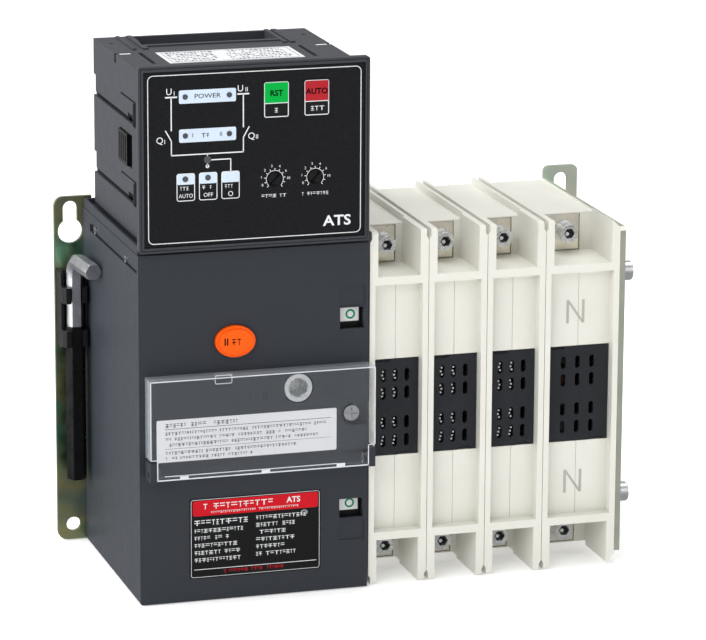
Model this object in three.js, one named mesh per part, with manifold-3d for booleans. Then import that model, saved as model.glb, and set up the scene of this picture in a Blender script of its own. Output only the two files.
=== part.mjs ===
// Automatic transfer switch: a motor-driven changeover mechanism, its plug-on controller,
// three phase poles, one neutral pole and the hex key that works it by hand.
// Millimetres, +X to the right, +Y to the back, +Z up.
import * as THREE from "three";
import { mergeVertices } from "three/addons/utils/BufferGeometryUtils.js";
import Module from "manifold-3d";

const wasm = await Module();
wasm.setup();

// ---- Driving dimensions, measured from the housing's front left bottom corner ----
const GAP = 0.3; // clearance between neighbouring pieces
const BIG = 400; // longer than any piece, for cuts that run right out

const HOUSING = { left: -1.4, width: 120, depth: 123, height: 184, wall: 2.2, corner: 1.5 };
const PLINTH = { front: 1.6, back: 119, high: 188.9, lip: 1.2, grooveFloor: 186, grooveWidth: 4.6 };
const PLATE = { thickness: 2.5, back: 125.8, left: -16.5, right: 277.4, topLeft: 189.3, topRight: 190.7 };
const EAR_HOLE = { inset: 8.6, radius: 3.9, bottom: 8.4, top: 183, keyhole: 170.6, keyholeRadius: 6.7 };

const POLE = { front: 1.5, corner: 1.6, back: 116.3, height: 188.5, first: 121, phase: 31.9, neutral: 41 };
const POLE_WALL = { panel: 3, post: 4.4, top: 3.5 };
const LEDGE = { under: 160.3, over: 164.6 }; // the bar in front of the upper terminals
const PANEL_Y = 7.7; // front of the recessed panel between a pole's walls
const CHAMBER = { front: 12, back: 104, low: 42 }; // the contact and arc space inside a pole
const VENT = { low: 68, high: 119.3, front: 7.4, back: 9.6 };
const VENT_ROWS = [-18, -8.3, 7.5, 17];
const TERMINAL = { front: 34.5, back: 47.5, low: 164.9, high: 184.2 };
const LOAD = { front: 90.5, back: 104, low: 4.4, high: 23.6 };
const LEG = { half: 5, front: 36, back: 40 };
const SCREW = { head: 5, headLength: 6, washer: 5.7, washerLength: 2.9, shank: 2.8, z: 175.6 };

const SHAFT = { y: 58, z: POLE.height / 2, radius: 7 }; // cross shaft of the moving contacts
const BLADE = { reach: 21.5, thick: 5, half: 4 };
const TIE = { y: 11.6, low: 36.6, high: 157.3, shank: 2.9, head: 5.2, headLength: 6 };
const DRIVE = { x: 80.7, z: 111.5, radius: 7.6, key: 8.6 }; // hex socket across flats

const PAD = { left: 3, right: 118.4, low: 76.6, high: 119.6, front: -7 }; // raised pad under the flap
const FLAP = { left: 1.6, right: 120.8, low: 68.6, high: 121.2, front: -11, back: -0.6, wall: 1.2 };
const FLAP_HINGE = { y: -7.2, z: 71.5, pin: 1.4, bracketTop: 78, bracketWidth: 3 };
const LOCK = { x: 109.5, z: 95.7, recess: 5.9, head: 4.2, shank: 1.8 };
const BUTTON = { x: 48.8, z: 137, halfWidth: 10.5, halfHeight: 8.2, proud: 3.5 };
const WINDOW = { left: 104.8, right: 117.6, upper: [139, 150.3], lower: [38, 48.3], travel: 11.4 };

const CASE = { left: 2.6, right: 117.4, low: 189.2, high: 276.2, back: 110, wall: 4.4 };
const BEZEL = { left: -1.5, right: 119.1, low: 185.8, high: 281, front: -3.4, back: 1.2, corner: 1.5 };
const SEAT = { left: 1.2, right: 116.8, low: 188.4, high: 278.1, back: -1.1 }; // the panel's pocket
const RIDGE = { inset: 1, width: 0.5, depth: 0.5 }; // groove that doubles the bezel's edge
const WELL = { left: 22.4, right: 94.4, front: 80, back: 107.4, floor: 265 };
const CHANNELS = [206.2, 247.2]; // lower edges of the channels in the case's sides
const PANEL = { front: -2.6, back: -1.3 };
const KEYS = { reset: 70, auto: 91.1, z: 261.2, halfWidth: 6.4, halfHeight: 9 };
const DIALS = { left: 69.3, right: 90.5, z: 220.4, radius: 3.5 };
const COIL = { x: 38, y: 72, half: 22, low: 20, high: 84, bore: 9 };
const CATCH = { front: 33, back: 52, low: 223.6, high: 240, travel: 5.5 };

const KEY = { x: -8.5, y: 111.5, flats: 8, armZ: 158, armLength: 33, turn: 4.4, bend: 9, endRadius: 4.25 };
const SLEEVE = { low: 37.5, high: 121.9, flats: 9.4 };
const CLIP = { left: -16, right: -1.7, front: 106.6, back: 123, low: 109.6, high: 150.8 };

// ---- Finishes ----
const finish = (color, roughness, metalness, opacity = 1) =>
  new THREE.MeshStandardMaterial({ color, roughness, metalness, opacity, transparent: opacity < 1 });
const MATERIAL = {
  slate: finish(0x3d4147, 0.45, 0),
  black: finish(0x17181a, 0.5, 0),
  ivory: finish(0xe9e8df, 0.4, 0),
  zinc: finish(0xaebfae, 0.35, 1),
  yellowZinc: finish(0x6f7c52, 0.35, 1),
  steel: finish(0xa9abae, 0.3, 1),
  copper: finish(0xb9b0a2, 0.35, 1),
  bareCopper: finish(0xb4724a, 0.35, 1),
  orange: finish(0xee6a1a, 0.35, 0),
  green: finish(0x0f9f45, 0.4, 0),
  red: finish(0xb02a30, 0.4, 0),
  white: finish(0xf2f2f0, 0.5, 0),
  clear: finish(0xdfe6ea, 0.1, 0, 0.25),
  board: finish(0x1f5a3c, 0.5, 0),
  winding: finish(0x8a3d22, 0.5, 0),
};

// ---- Solids ----
function solid(geometry) {
  geometry.deleteAttribute("normal");
  geometry.deleteAttribute("uv");
  const merged = mergeVertices(geometry, 1e-4);
  const vertProperties = new Float32Array(merged.attributes.position.array);
  const triVerts = new Uint32Array(merged.index.array);
  return new wasm.Manifold(new wasm.Mesh({ numProp: 3, vertProperties, triVerts }));
}

function box(x0, x1, y0, y1, z0, z1) {
  const geometry = new THREE.BoxGeometry(x1 - x0, y1 - y0, z1 - z0);
  geometry.translate((x0 + x1) / 2, (y0 + y1) / 2, (z0 + z1) / 2);
  return solid(geometry);
}

function cylinder(axis, from, to, center, radius, sides = 20) {
  const geometry = new THREE.CylinderGeometry(radius, radius, to - from, sides);
  const middle = (from + to) / 2;
  if (axis === "x") geometry.rotateZ(Math.PI / 2).translate(middle, center[0], center[1]);
  if (axis === "y") geometry.translate(center[0], middle, center[1]);
  if (axis === "z") geometry.rotateX(Math.PI / 2).translate(center[0], center[1], middle);
  return solid(geometry);
}

// An outline drawn in the two axes across `axis`, in X, Y, Z order, and drawn out along it.
function prism(axis, outline, from, to) {
  const points = () => outline.map(([a, b]) => new THREE.Vector2(a, b));
  const shape = outline instanceof THREE.Shape ? outline : new THREE.Shape(points());
  const options = { depth: to - from, bevelEnabled: false, curveSegments: 6 };
  const geometry = new THREE.ExtrudeGeometry(shape, options);
  if (axis === "x") {
    const [alongX, alongY, alongZ] = [[1, 0, 0], [0, 1, 0], [0, 0, 1]].map((v) => new THREE.Vector3(...v));
    const basis = new THREE.Matrix4().makeBasis(alongY, alongZ, alongX);
    geometry.applyMatrix4(basis).translate(from, 0, 0);
  }
  if (axis === "y") geometry.rotateX(Math.PI / 2).translate(0, to, 0);
  if (axis === "z") geometry.translate(0, 0, from);
  return solid(geometry);
}

const join = (...solids) => solids.reduce((all, next) => all.add(next));
const cut = (body, ...tools) => tools.reduce((rest, tool) => rest.subtract(tool), body);
const mirrorZ = (body, z) => body.mirror([0, 0, 1]).translate([0, 0, 2 * z]);
const bothEnds = (make) => [make(), mirrorZ(make(), POLE.height / 2)];

function roundedOutline(a0, a1, b0, b1, radii) {
  const [lowLeft, lowRight, highRight, highLeft] = radii;
  const shape = new THREE.Shape();
  shape.moveTo(a0 + lowLeft, b0);
  shape.lineTo(a1 - lowRight, b0);
  if (lowRight) shape.absarc(a1 - lowRight, b0 + lowRight, lowRight, -Math.PI / 2, 0);
  shape.lineTo(a1, b1 - highRight);
  if (highRight) shape.absarc(a1 - highRight, b1 - highRight, highRight, 0, Math.PI / 2);
  shape.lineTo(a0 + highLeft, b1);
  if (highLeft) shape.absarc(a0 + highLeft, b1 - highLeft, highLeft, Math.PI / 2, Math.PI);
  shape.lineTo(a0, b0 + lowLeft);
  if (lowLeft) shape.absarc(a0 + lowLeft, b0 + lowLeft, lowLeft, Math.PI, Math.PI * 1.5);
  return shape;
}

function ellipse(x, z, halfWidth, halfHeight, sides = 32) {
  const point = (i) => {
    const angle = (i / sides) * 2 * Math.PI;
    return [x + halfWidth * Math.cos(angle), z + halfHeight * Math.sin(angle)];
  };
  return Array.from({ length: sides }, (_, i) => point(i));
}

// A regular hexagon by its size across flats; `start` turns its first corner.
function hexagon(a, b, flats, start = 0) {
  const radius = flats / Math.sqrt(3);
  const corner = (i) => {
    const angle = start + (i * Math.PI) / 3;
    return [a + radius * Math.cos(angle), b + radius * Math.sin(angle)];
  };
  return Array.from({ length: 6 }, (_, i) => corner(i));
}

function mesh(name, body, material, position = [0, 0, 0]) {
  const { numProp, vertProperties, triVerts } = body.getMesh();
  const geometry = new THREE.BufferGeometry();
  const buffer = new THREE.InterleavedBuffer(vertProperties, numProp);
  geometry.setAttribute("position", new THREE.InterleavedBufferAttribute(buffer, 3, 0));
  geometry.setIndex(new THREE.BufferAttribute(triVerts, 1));
  const flat = geometry.toNonIndexed();
  flat.computeVertexNormals();
  const made = new THREE.Mesh(flat, material);
  made.name = name;
  made.position.set(...position);
  return made;
}

// ---- Side plates and tie bolts ----
function tieHoles(from, to, radius) {
  return [TIE.low, TIE.high].map((z) => cylinder("x", from, to, [TIE.y, z], radius, 16));
}

function leftPlate() {
  const { thickness, back, left, topLeft } = PLATE;
  const flangeFront = back - thickness;
  const inside = HOUSING.left + HOUSING.wall + 0.5;
  const outline = roundedOutline(left, inside + thickness, 0, topLeft, [5, 0, 0, 5]);
  const sheet = box(inside, inside + thickness, 5, back - 0.1, 6, 178);
  const holeX = left + EAR_HOLE.inset;
  const across = [flangeFront - 1, back + 1];
  return cut(
    join(prism("y", outline, flangeFront, back), sheet),
    cylinder("y", ...across, [holeX, EAR_HOLE.bottom], EAR_HOLE.radius),
    cylinder("y", ...across, [holeX, EAR_HOLE.keyhole], EAR_HOLE.keyholeRadius, 24),
    cylinder("y", ...across, [holeX, EAR_HOLE.top], EAR_HOLE.radius),
    box(holeX - EAR_HOLE.radius, holeX + EAR_HOLE.radius, ...across, EAR_HOLE.keyhole, EAR_HOLE.top),
    ...tieHoles(0, 20, TIE.shank + GAP),
  );
}

function rightPlate() {
  const { thickness, back, right, topRight } = PLATE;
  const inner = poleRight() + GAP;
  const flangeFront = back - thickness;
  const outline = roundedOutline(inner, right, 0, topRight, [3, 5, 3, 3]);
  const sheetOutline = [
    [2.4, 7],
    [back - 0.1, 7],
    [back - 0.1, 183],
    [4.4, 183],
    [2.4, 181],
  ];
  const sheet = prism("x", sheetOutline, inner, inner + thickness + 0.5);
  const slotX = right - 9.6;
  const across = [flangeFront - 1, back + 1];
  return cut(
    join(prism("y", outline, flangeFront, back), sheet),
    cylinder("y", ...across, [slotX, EAR_HOLE.bottom], EAR_HOLE.radius),
    cylinder("y", ...across, [slotX, EAR_HOLE.top], EAR_HOLE.radius),
    cylinder("y", ...across, [slotX, EAR_HOLE.top - 8], EAR_HOLE.radius),
    box(slotX - EAR_HOLE.radius, slotX + EAR_HOLE.radius, ...across, EAR_HOLE.top - 8, EAR_HOLE.top),
    ...tieHoles(inner - 5, inner + 10, TIE.shank + GAP),
  );
}

function tieBolt(z) {
  const seat = poleRight() + 2 * GAP + PLATE.thickness + 0.5;
  const head = cylinder("x", seat, seat + TIE.headLength, [TIE.y, z], TIE.head, 24);
  const shank = cylinder("x", HOUSING.left + HOUSING.wall + 0.5, seat + 1, [TIE.y, z], TIE.shank, 12);
  return cut(join(head, shank), prism("x", hexagon(TIE.y, z, 5), seat + 3, BIG));
}

// ---- Mechanism ----
// The plinth under the controller, with a shadow groove along each side.
function plinth() {
  const { left, width, height } = HOUSING;
  const { front, back, high, lip, grooveFloor, grooveWidth } = PLINTH;
  const block = box(left, width, front, back, height - 1, high);
  const groove = (x) => box(x, x + grooveWidth, front + lip, back - lip, grooveFloor, BIG);
  const line = (x) => box(x, x + 0.7, front - 1, BIG, height, height + 0.4);
  return cut(
    block,
    groove(left + lip),
    groove(width - lip - grooveWidth),
    line(left - 0.3),
    line(width - 0.4),
    box(left - 1, width + 1, back - 0.4, BIG, height, height + 0.4),
  );
}

// A long shallow recess near the top of the left side, with a deeper groove at its foot.
function sideRecess() {
  const { left } = HOUSING;
  return join(
    box(left - 1, left + 0.5, 3.2, 99.4, 174.3, 179.4),
    box(left - 1, left + 1.6, 3.2, 99.4, 174.3, 175.5),
    box(left - 1, left + 1.6, 99, 105.4, 174.3, 178.5),
  );
}

function housing() {
  const { left, width, depth, height, wall, corner } = HOUSING;
  const room = box(left + wall, width - wall, 2.4, depth - wall, wall, height - wall);
  const outer = prism("y", roundedOutline(left, width, 0, height, [corner, 0, 0, 0]), 0, depth);
  const pad = box(PAD.left, PAD.right, PAD.front, 1, PAD.low, PAD.high);
  const bracket = (x) => box(x, x + FLAP_HINGE.bracketWidth, FLAP.front, 1, 68, FLAP_HINGE.bracketTop);
  const brackets = [bracket(FLAP.left), bracket(FLAP.right - FLAP_HINGE.bracketWidth)];
  const lockRecess = join(
    cylinder("y", PAD.front - 1, -1.2, [LOCK.x, LOCK.z], LOCK.recess, 24),
    box(LOCK.x, PAD.right + 1, PAD.front - 1, -1.2, LOCK.z - LOCK.recess, LOCK.z + LOCK.recess),
  );
  const outlineMark = (z) => box(WINDOW.left, WINDOW.right + 0.6, -1, 0.5, z, z + 10.6);
  const windowHole = ([low, high]) => box(WINDOW.left, WINDOW.right, -1, 5, low, high);
  return cut(
    join(cut(outer, room), pad, plinth(), ...brackets),
    prism("y", ellipse(BUTTON.x, BUTTON.z, BUTTON.halfWidth + GAP, BUTTON.halfHeight + GAP), -1, 5),
    windowHole(WINDOW.upper),
    windowHole(WINDOW.lower),
    outlineMark(WINDOW.upper[1] + 0.7),
    outlineMark(WINDOW.lower[0] - 11.8),
    cylinder("y", PAD.front - 1, 5, [DRIVE.x, DRIVE.z], DRIVE.radius + 0.4, 28),
    lockRecess,
    sideRecess(),
    cylinder("x", -1, width + 1, [FLAP_HINGE.y, FLAP_HINGE.z], FLAP_HINGE.pin + GAP, 12),
    cylinder("x", width - 5, width + 1, [SHAFT.y, SHAFT.z], SHAFT.radius + 0.8, 24),
    cylinder("y", -2, 5, [LOCK.x, LOCK.z], LOCK.shank + GAP, 12),
    box(left + wall, left + wall + 3.3, 100, BIG, 5.7, 178.3),
    box(36, 84, 100, BIG, 140, 162),
    ...tieHoles(width - 5, width + 1, TIE.shank + GAP),
  );
}

function flap() {
  const { left, right, low, high, front, back, wall } = FLAP;
  const shoulder = 79.6;
  const inset = FLAP_HINGE.bracketWidth + 0.4;
  const outer = box(left, right, front, back, shoulder, high);
  const inner = box(left + wall, right - wall, front + wall, BIG, shoulder - 1, high - wall);
  const skirt = box(left + inset, right - inset, front, front + wall, low, shoulder + 1);
  const lip = box(left + inset, right - inset, front, -8.2, low, low + 1.4);
  const tab = box(35.5, 44.5, front - 0.6, front + 2, high - 3, high + 1.8);
  const knuckle = (x) =>
    join(
      cylinder("x", x, x + 2.4, [FLAP_HINGE.y, FLAP_HINGE.z], 2.8, 16),
      box(x, x + 2.4, front, FLAP_HINGE.y, low, FLAP_HINGE.z + 2.8),
    );
  const pin = (x) => cylinder("x", x, x + 3, [FLAP_HINGE.y, FLAP_HINGE.z], FLAP_HINGE.pin, 12);
  return join(
    cut(outer, inner),
    skirt,
    lip,
    tab,
    knuckle(left + inset),
    knuckle(right - inset - 2.4),
    pin(left + inset - 2.5),
    pin(right - inset - 0.5),
  );
}

function tripButton() {
  const { x, z, halfWidth, halfHeight, proud } = BUTTON;
  const crown = prism("y", ellipse(x, z, halfWidth - 1.6, halfHeight - 1.6), -proud, 0);
  const rim = prism("y", ellipse(x, z, halfWidth, halfHeight), -proud + 1.2, 3);
  const flange = prism("y", ellipse(x, z, halfWidth + 2, halfHeight + 2), 2.8, 4.4);
  const stem = cylinder("y", 4, 14, [x, z], 4);
  return join(crown, rim, flange, stem);
}

// One slide carries both flags, each with a field for every position of the shaft.
function indicatorSlide() {
  const { left, right, upper, lower, travel } = WINDOW;
  const flag = ([low, high]) => box(left - 1, right - 0.2, 5, 6.4, low - travel - 1, high + travel + 1);
  return join(flag(upper), flag(lower), box(left - 1, left + 5, 5, 6.4, lower[0], upper[1]));
}

function lockScrew() {
  const head = cylinder("y", -5.4, -1.5, [0, 0], LOCK.head, 24);
  const shank = cylinder("y", -1.6, 4.4, [0, 0], LOCK.shank, 12);
  return cut(join(head, shank), box(-0.5, 0.5, -6, -3.8, -2.8, 2.8), box(-2.8, 2.8, -6, -3.8, -0.5, 0.5));
}

function driveShaft() {
  const { x, z, radius, key } = DRIVE;
  const at = [x, z];
  const body = join(
    cylinder("y", PAD.front + 0.4, 9, at, radius, 28),
    cylinder("y", 2.8, 5, at, radius + 2.4, 28),
    cylinder("y", 8, 50, at, 4.5),
    box(x - 13, x, 40, 43, z - 4, z + 4),
  );
  return cut(body, prism("y", hexagon(x, z, key, Math.PI / 6), PAD.front - 1, 4.4));
}

function contactShaft() {
  const rod = cylinder("x", 92, poleRight() - 2, [SHAFT.y, SHAFT.z], SHAFT.radius, 20);
  const crank = box(96, 100, SHAFT.y - 15, SHAFT.y, SHAFT.z - 4, SHAFT.z + 4);
  return join(rod, crank);
}

function coil() {
  const { x, y, half, low, high, bore } = COIL;
  const cheek = (z) => box(x - half, x + half, y - half, y + half, z, z + 4);
  const core = cylinder("z", low, high, [x, y], half - 3, 28);
  return cut(join(core, cheek(low), cheek(high - 4)), cylinder("z", low + 8, BIG, [x, y], bore));
}

function plunger() {
  const { x, y, low, high, bore } = COIL;
  const rod = cylinder("z", low + 18, high + 24, [x, y], bore - 0.5);
  return join(rod, box(x - 6, x + 6, y - 3, y + 3, high + 23, high + 34));
}

// ---- Controller ----
function bezel() {
  const { left, right, low, high, front, back, corner } = BEZEL;
  const ring = (inset) => {
    const radius = Math.max(corner - inset, 0.4);
    const [a0, a1, b0, b1] = [left + inset, right - inset, low + inset, high - inset];
    return roundedOutline(a0, a1, b0, b1, [radius, radius, radius, radius]);
  };
  const ridgeCut = (inset) => prism("y", ring(inset), front - 1, front + RIDGE.depth);
  const groove = cut(ridgeCut(RIDGE.inset), ridgeCut(RIDGE.inset + RIDGE.width));
  return cut(prism("y", ring(0), front, back), groove);
}

// The snap channels of both sides: a shallow flat, a deep lower edge and deep L-shaped ends.
function sideChannels(z) {
  const { left, right } = CASE;
  const leftSide = join(
    box(left - 1, left + 1, 25, BIG, z, z + 10.4),
    box(left - 1, left + 3.4, 25, BIG, z - 0.8, z + 0.9),
    box(left - 1, left + 3.4, 27, 39, z - 0.8, z + 3),
    box(left - 1, left + 3, 18.2, 24.6, z - 1.6, z + 11.8),
    box(left - 1, left + 3, 20, 50, z + 10, z + 11.8),
  );
  return [leftSide, leftSide.mirror([1, 0, 0]).translate([left + right, 0, 0])];
}

// What is cut into the case's top: two slits, two notches at the edges and two dimples.
function topCuts() {
  const { left, right, high } = CASE;
  const slit = (x) => box(x, x + 2.2, 30, 61.5, high - 3, BIG);
  const notch = (x) => box(x, x + 6.6, 59.4, 62.6, high - 1.4, BIG);
  const edgeNotch = (x) => box(x, x + 2.6, 60, 63.6, high - 4.7, BIG);
  const dimple = (x) => cylinder("z", high - 0.7, high + 1, [x, 91.6], 1.2, 12);
  return [
    slit(14.4),
    slit(99.4),
    notch(left + 1.8),
    notch(right - 8.4),
    edgeNotch(left - 1),
    edgeNotch(right - 1.6),
    dimple(7.9),
    dimple(111.6),
  ];
}

function controllerCase() {
  const { left, right, low, high, back, wall } = CASE;
  const body = box(left, right, BEZEL.back - 1, back, low, high);
  const wellBlock = box(WELL.left - 5, WELL.right + 5, WELL.front - 4, back - 1, WELL.floor - 3, high - 1);
  const rail = (x, width) => box(x, x + width, 70, 108, high - 1, high + 0.8);
  const rim = box(WELL.left - 3, WELL.right + 2.2, 76.5, 80, high - 1, high + 0.8);
  const seat = box(SEAT.left, SEAT.right, BEZEL.front - 1, SEAT.back, SEAT.low, SEAT.high);
  const room = box(left + wall, right - wall, -2, back - 2.2, low + 2.2, high - 2.2);
  const hollow = cut(room, wellBlock);
  const well = box(WELL.left, WELL.right, WELL.front, WELL.back, WELL.floor, BIG);
  const pocketSides = [left - 1, left + 2];
  const pocketDepths = [CATCH.front - CATCH.travel - 0.8, CATCH.back + 0.4];
  const pocket = box(...pocketSides, ...pocketDepths, CATCH.low - 0.4, CATCH.high + 0.4);
  const shell = cut(join(bezel(), body), seat, hollow);
  const rails = [rail(14, 1.8), rail(WELL.left - 3, 3), rail(WELL.right, 2.2), rail(98.2, 2.8)];
  return cut(join(shell, ...rails, rim), well, pocket, ...topCuts(), ...CHANNELS.flatMap(sideChannels));
}

function controllerPanel() {
  const sides = [SEAT.left + GAP, SEAT.right - GAP];
  const plate = box(...sides, PANEL.front, PANEL.back, SEAT.low + GAP, SEAT.high - GAP);
  const { z, halfWidth, halfHeight } = KEYS;
  const keyHole = (x) => {
    const [wide, tall] = [halfWidth + GAP, halfHeight + GAP];
    return box(x - wide, x + wide, -5, 0, z - tall, z + tall);
  };
  const dialHole = (x) => cylinder("y", -5, 0, [x, DIALS.z], DIALS.radius + GAP, 24);
  return cut(plate, keyHole(KEYS.reset), keyHole(KEYS.auto), dialHole(DIALS.left), dialHole(DIALS.right));
}

function pushKey() {
  const { halfWidth, halfHeight } = KEYS;
  return join(
    box(-halfWidth, halfWidth, -3.1, -0.8, -halfHeight, halfHeight),
    box(-halfWidth - 1, halfWidth + 1, -0.9, 0.4, -halfHeight - 1, halfHeight + 1),
    box(-3, 3, 0.3, 4.1, -3, 3),
  );
}

function dial() {
  const { radius } = DIALS;
  const turned = box(-0.45, 0.45, -4, -2.1, -radius + 0.3, radius - 0.3).rotate([0, 35, 0]);
  const body = join(
    cylinder("y", -2.9, -0.8, [0, 0], radius, 24),
    cylinder("y", -0.9, 0.3, [0, 0], radius + 1, 24),
    cylinder("y", 0.2, 4.6, [0, 0], 1.8, 12),
  );
  return cut(body, turned);
}

function catchSlider() {
  const { front, back, low, high } = CATCH;
  const body = box(CASE.left - 1.2, CASE.left + 1.7, front, back, low, high);
  const groove = (y) => box(CASE.left - 2, CASE.left - 0.5, y, y + 1.6, low + 1.4, high - 1.4);
  return cut(body, ...[35.5, 39.5, 43.5, 47.5].map(groove));
}

function circuitBoard() {
  const board = box(10, 110, 5.4, 7, 196, 270);
  const part = (x, z, width, height, depth) => box(x, x + width, 6.9, 7 + depth, z, z + height);
  return join(board, part(20, 205, 22, 30, 14), part(55, 235, 18, 18, 4), part(80, 205, 20, 12, 12));
}

// ---- Poles ----
const poleRight = () => POLE.first + 3 * POLE.phase + POLE.neutral;
const terminalHalf = (width) => (width > 35 ? 9.3 : 7.7);

function poleCasing(width) {
  const half = width / 2 - GAP / 2;
  const tall = POLE.height;
  const panelHalf = half - POLE_WALL.panel;
  const postHalf = half - POLE_WALL.post;
  const blockHalf = terminalHalf(width) + GAP;
  const legHalf = LEG.half + GAP;
  const compartment = () => box(-postHalf, postHalf, -5, TERMINAL.front - GAP, LEDGE.over, BIG);
  const recess = () => box(-panelHalf, panelHalf, TERMINAL.front - 1, BIG, tall - POLE_WALL.top, BIG);
  const pocket = () =>
    box(-blockHalf, blockHalf, 34, TERMINAL.back + GAP, TERMINAL.low - GAP, TERMINAL.high + 0.2);
  const legSlot = () => box(-legHalf, legHalf, LEG.front - GAP, LEG.back + GAP, 140, 166);
  const step = () => {
    const outline = [
      [half - 1.1, BIG],
      [half + 1, BIG],
      [half + 1, tall - 5.4],
      [half, tall - 5.4],
      [half - 1.1, tall - 3.6],
    ];
    const right = prism("y", outline, -5, BIG);
    return join(right, right.mirror([1, 0, 0]));
  };
  const ends = [compartment, recess, pocket, legSlot, step].flatMap(bothEnds);
  const bevel = () => {
    const outline = [
      [half - 5, BIG],
      [half + 1, BIG],
      [half + 1, tall - 7],
      [half, tall - 5.6],
      [half - 5, tall - 0.6],
    ];
    return prism("y", outline.reverse(), -5, BIG);
  };
  if (width > 35) ends.push(...bothEnds(bevel));
  const profile = roundedOutline(POLE.front, POLE.back, 0, tall, [POLE.corner, 0, 0, POLE.corner]);
  const block = cut(prism("x", profile, -half, half), ...ends);
  const partingLine = box(-0.2, 0.2, PANEL_Y - 1, PANEL_Y + 0.4, tall - LEDGE.under, LEDGE.under);
  return cut(
    block,
    partingLine,
    box(-panelHalf, panelHalf, -5, PANEL_Y, tall - LEDGE.under, LEDGE.under),
    box(-panelHalf, panelHalf, PANEL_Y - 1, VENT.back + GAP, VENT.low - GAP, VENT.high + GAP),
    box(-panelHalf + 2.4, panelHalf - 2.4, 9, CHAMBER.front + 1, VENT.low + 2.4, VENT.high - 2.4),
    box(-panelHalf, panelHalf, CHAMBER.front, CHAMBER.back, CHAMBER.low, tall - CHAMBER.low),
    box(-postHalf, postHalf, LOAD.back + GAP, BIG, -5, LOAD.high + GAP),
    box(-blockHalf, blockHalf, LOAD.front - GAP, LOAD.back + 1, LOAD.low - GAP, LOAD.high + GAP),
    box(-legHalf, legHalf, LOAD.front - GAP, LOAD.front + 4 + GAP, LOAD.high - 1, CHAMBER.low + 1),
    cylinder("x", -BIG, BIG, [SHAFT.y, SHAFT.z], SHAFT.radius + 0.8, 24),
    ...tieHoles(-BIG, BIG, TIE.shank + GAP),
  );
}

function ventCover(width) {
  const half = width / 2 - GAP / 2 - POLE_WALL.panel - GAP;
  const middle = (VENT.low + VENT.high) / 2;
  const spacing = width > 35 ? 7.9 : 6.4;
  const plate = box(-half, half, VENT.front, VENT.back, VENT.low, VENT.high);
  const slot = (x, z) => {
    const halfLength = 3.6;
    const halfWidth = 1.3;
    const outline = [
      [x, z - halfLength],
      [x + halfWidth, z - halfLength + 1],
      [x + halfWidth, z + halfLength - 1],
      [x, z + halfLength],
      [x - halfWidth, z + halfLength - 1],
      [x - halfWidth, z - halfLength + 1],
    ];
    return prism("y", outline, VENT.front - 1, VENT.back + 1);
  };
  const slots = [-1, 0, 1].flatMap((column) => VENT_ROWS.map((row) => slot(column * spacing, middle + row)));
  const notches = [
    box(-half + 2.4, -half + 9.6, 5, VENT.back - 1, VENT.high - 1.3, BIG),
    box(half - 10, half - 3.4, 5, VENT.back - 1, 0, VENT.low + 1.3),
  ];
  return cut(plate, ...slots, ...notches);
}

function lineTerminal(width) {
  const half = terminalHalf(width);
  const block = box(-half, half, TERMINAL.front, TERMINAL.back, TERMINAL.low, TERMINAL.high);
  const leg = box(-LEG.half, LEG.half, LEG.front, LEG.back, 107, TERMINAL.low + 1);
  const contact = box(-4, 4, LEG.front - 2.5, LEG.back + 1, 105.7, 108.5);
  const hole = cylinder("y", 30, TERMINAL.back - 1, [0.8, SCREW.z], SCREW.shank + GAP, 12);
  return cut(join(block, leg, contact), hole);
}

function loadTerminal(width) {
  const half = terminalHalf(width);
  const block = box(-half, half, LOAD.front, LOAD.back, LOAD.low, LOAD.high);
  const leg = box(-LEG.half, LEG.half, LOAD.front, LOAD.front + 4, LOAD.high - 1, 70);
  const hole = cylinder("y", LOAD.front + 5, LOAD.back + 1, [0, 13.5], SCREW.shank + GAP, 12);
  return cut(join(block, leg), hole);
}

function terminalScrew() {
  const seat = TERMINAL.front - GAP;
  const washerFront = seat - SCREW.washerLength;
  const headFront = washerFront - SCREW.headLength;
  const body = join(
    cylinder("y", washerFront, seat, [0, 0], SCREW.washer, 20),
    cylinder("y", headFront, washerFront + 0.5, [0, 0], SCREW.head, 20),
    cylinder("y", seat - 0.5, TERMINAL.back - 2, [0, 0], SCREW.shank, 12),
  );
  return cut(body, prism("y", hexagon(0, 0, 5), 0, headFront + 3.4));
}

function arcChute(width) {
  const half = width / 2 - POLE_WALL.panel - 1;
  const side = (x) => box(x, x + 1, 14, 32, 48, 140.5);
  const levels = [50, 60, 70, 80, 106.9, 116.9, 126.9, 136.9];
  const plates = levels.map((z) => box(-half, half, 15, 31, z, z + 1.6));
  return join(side(-half), side(half - 1), ...plates);
}

function movingContact() {
  const at = [SHAFT.y, SHAFT.z];
  const { reach, thick, half } = BLADE;
  const blade = box(-half, half, SHAFT.y - reach, SHAFT.y, SHAFT.z - thick / 2, SHAFT.z + thick / 2);
  const tail = box(-half, half, SHAFT.y, SHAFT.y + 16, SHAFT.z - 2, SHAFT.z + 2);
  const collar = cylinder("x", -6, 6, at, SHAFT.radius + 3);
  return cut(join(collar, blade, tail), cylinder("x", -7, 7, at, SHAFT.radius + GAP));
}

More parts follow.
